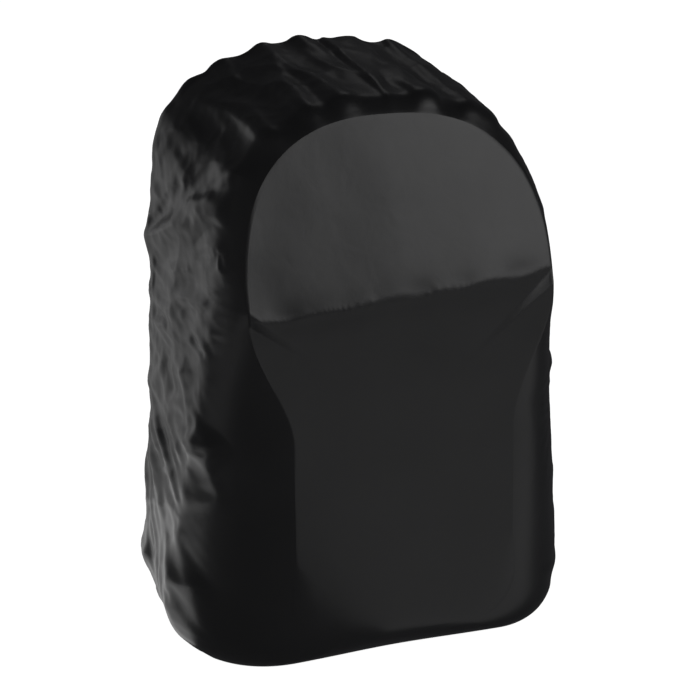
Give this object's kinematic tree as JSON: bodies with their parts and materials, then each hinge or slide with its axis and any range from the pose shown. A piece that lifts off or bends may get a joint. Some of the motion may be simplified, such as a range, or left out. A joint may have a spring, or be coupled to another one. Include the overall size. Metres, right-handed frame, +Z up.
{
  "type": "tail bag in its rain cover",
  "caption": "Upright motorcycle tail bag standing in a stretch-on black nylon rain cover with an elastic back hem, a harness and lashing rings.",
  "frame": {"origin": "on the floor in the middle of the flat base of the cover", "axes": "+Z up, front of the bag towards -Y, +X to the right as seen from the front"},
  "size_m": [0.372, 0.2248, 0.5097],
  "materials": {
    "coated_nylon": "satin gloss, fine plain weave with a waterproof coating",
    "lining": "matt woven lining",
    "elastic": "braided elastic",
    "pack_cloth": "matt ballistic weave",
    "boot_rubber": "matt coated cloth",
    "mesh_foam": "open spacer mesh over foam",
    "webbing": "ribbed woven tape",
    "moulded_plastic": "fine moulded texture",
    "board": "sheet plastic",
    "ring_steel": "nickel plated bar"
  },
  "bodies": {
    "bag": {"side_gusset": "pack_cloth", "base_boot": "boot_rubber", "front_shell": "pack_cloth", "opening_flap": "pack_cloth", "main_zip_tape_inner": "webbing", "main_zip_tape_outer": "webbing", "main_zip_chain": "moulded_plastic", "front_pocket": "pack_cloth", "pocket_zip_tape_lower": "webbing", "pocket_zip_tape_upper": "webbing", "pocket_zip_chain": "moulded_plastic", "back_panel": "pack_cloth", "frame_sheet": "board", "divider_sleeve": "lining", "back_pad_left": "mesh_foam", "back_pad_right": "mesh_foam", "lumbar_pad": "mesh_foam", "strap_yoke": "pack_cloth", "shoulder_strap_left": "mesh_foam", "shoulder_strap_right": "mesh_foam", "strap_webbing_left": "webbing", "strap_webbing_right": "webbing", "webbing_anchor_left": "webbing", "webbing_anchor_right": "webbing", "ring_tab_upper_left": "webbing", "ring_tab_upper_right": "webbing", "ring_tab_lower_left": "webbing", "ring_tab_lower_right": "webbing", "handle_anchor_left": "webbing", "handle_anchor_right": "webbing"},
    "cover": {"cover_gusset": "coated_nylon", "cover_front": "coated_nylon", "cover_seam_tape": "lining", "cover_hem": "coated_nylon", "cover_hem_elastic": "elastic"},
    "main_slider": {"main_slider": "moulded_plastic"},
    "main_pull": {"main_pull": "moulded_plastic"},
    "pocket_slider": {"pocket_slider": "moulded_plastic"},
    "pocket_pull": {"pocket_pull": "moulded_plastic"},
    "haul_handle": {"haul_handle": "webbing"},
    "lashing_ring_upper_left": {"lashing_ring_upper_left": "ring_steel"},
    "lashing_ring_upper_right": {"lashing_ring_upper_right": "ring_steel"},
    "lashing_ring_lower_left": {"lashing_ring_lower_left": "ring_steel"},
    "lashing_ring_lower_right": {"lashing_ring_lower_right": "ring_steel"},
    "ladder_lock_left": {"ladder_lock_left": "moulded_plastic"},
    "ladder_lock_right": {"ladder_lock_right": "moulded_plastic"}
  },
  "joints": [
    {"name": "cover_pull", "type": "slide", "parent": "bag", "child": "cover", "axis": [0, -1, 0], "range_m": [0, 0.3], "deforming": ["cover_hem", "cover_hem_elastic"]},
    {"name": "main_zip_run", "type": "hinge", "parent": "bag", "child": "main_slider", "pos_m": [0, -0.05454, 0.31779], "axis": [0, -0.9993, 0.037], "range_deg": [0, 168]},
    {"name": "main_pull_swing", "type": "hinge", "parent": "main_slider", "child": "main_pull", "pos_m": [0.10343, -0.05414, 0.32866], "axis": [0, -0.9993, 0.037], "range_deg": [-22, 22]},
    {"name": "pocket_zip_run", "type": "slide", "parent": "bag", "child": "pocket_slider", "axis": [1, 0, 0], "range_m": [0, 0.136]},
    {"name": "pocket_pull_swing", "type": "hinge", "parent": "pocket_slider", "child": "pocket_pull", "pos_m": [-0.068, -0.09034, 0.23583], "axis": [0, -0.9993, 0.038], "range_deg": [-22, 22]},
    {"name": "handle_lift", "type": "hinge", "parent": "bag", "child": "haul_handle", "pos_m": [0, 0.0995, 0.441], "axis": [1, 0, 0], "range_deg": [0, 125]},
    {"name": "ring_swing_upper_left", "type": "hinge", "parent": "bag", "child": "lashing_ring_upper_left", "pos_m": [-0.095, 0.098, 0.388], "axis": [1, 0, 0], "range_deg": [0, 110]},
    {"name": "ring_swing_upper_right", "type": "hinge", "parent": "bag", "child": "lashing_ring_upper_right", "pos_m": [0.095, 0.098, 0.388], "axis": [1, 0, 0], "range_deg": [0, 110]},
    {"name": "ring_swing_lower_left", "type": "hinge", "parent": "bag", "child": "lashing_ring_lower_left", "pos_m": [-0.056, 0.098, 0.086], "axis": [1, 0, 0], "range_deg": [0, 110]},
    {"name": "ring_swing_lower_right", "type": "hinge", "parent": "bag", "child": "lashing_ring_lower_right", "pos_m": [0.056, 0.098, 0.086], "axis": [1, 0, 0], "range_deg": [0, 110]},
    {"name": "lock_tilt_left", "type": "hinge", "parent": "bag", "child": "ladder_lock_left", "pos_m": [-0.0761, 0.1113, 0.21664], "axis": [0.9703, 0, -0.2419], "range_deg": [0, 40]},
    {"name": "lock_tilt_right", "type": "hinge", "parent": "bag", "child": "ladder_lock_right", "pos_m": [0.0761, 0.1113, 0.21664], "axis": [0.9703, 0, 0.2419], "range_deg": [0, 40]}
  ]
}
